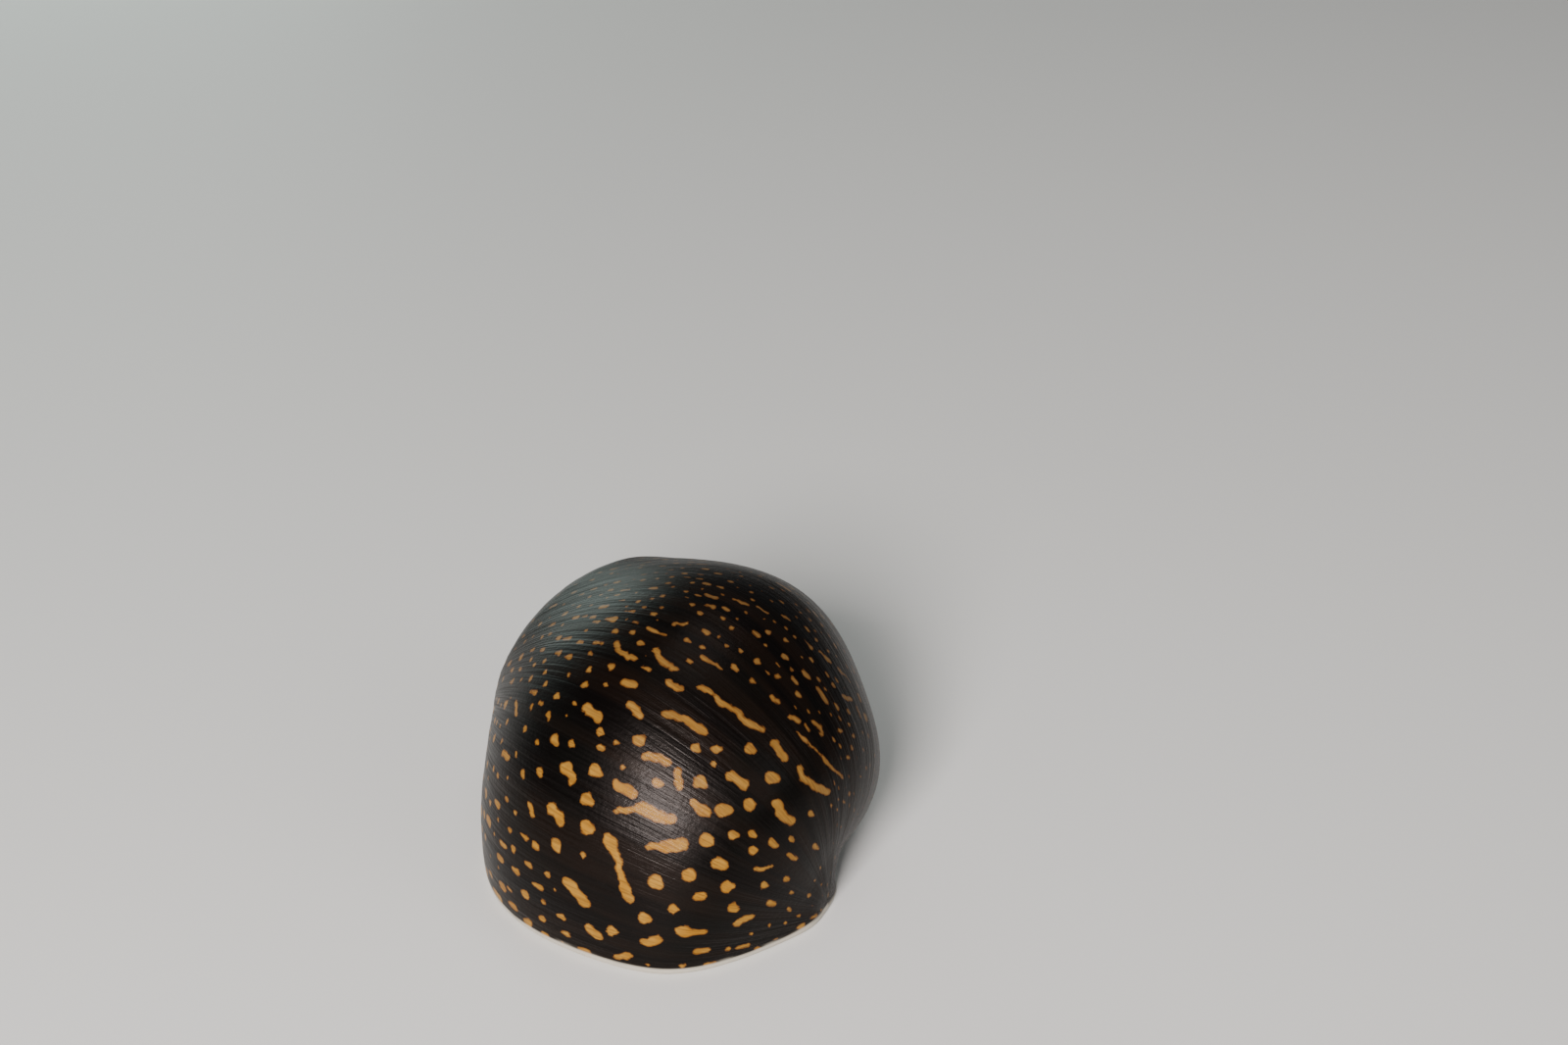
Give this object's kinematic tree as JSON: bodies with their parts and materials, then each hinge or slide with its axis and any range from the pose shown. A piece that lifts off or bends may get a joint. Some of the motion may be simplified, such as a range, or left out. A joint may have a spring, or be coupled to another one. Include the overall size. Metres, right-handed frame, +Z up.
{
  "type": "nerite snail",
  "caption": "Freshwater nerite snail at rest, glossy dark domed shell with ochre spots clamped over the drawn-in body.",
  "frame": {"origin": "centre of the footprint of the whole snail on the ground", "axes": "+Z up, -Y is the way the head points, +X is the snail's left"},
  "size_m": [0.0212, 0.024, 0.015],
  "materials": {
    "shell": "polished brown-black with ochre spots and streaks",
    "worn_shell": "smooth, worn pale",
    "operculum": "satin, chalky and ridged",
    "sole": "moist, soft",
    "flesh": "moist, soft, finely banded",
    "eye": "glossy"
  },
  "bodies": {
    "root": {"shell_body_whorl": "shell", "shell_spire": "worn_shell", "shell_deck": "worn_shell", "operculum": "operculum", "foot": "sole", "neck": "flesh", "body_mantle": "flesh", "head": "flesh", "snout": "flesh", "tentacle_left_base": "flesh", "tentacle_left_tip": "flesh", "tentacle_right_base": "flesh", "tentacle_right_tip": "flesh", "eyestalk_left": "flesh", "eyestalk_right": "flesh", "eye_left": "eye", "eye_right": "eye"}
  },
  "joints": []
}
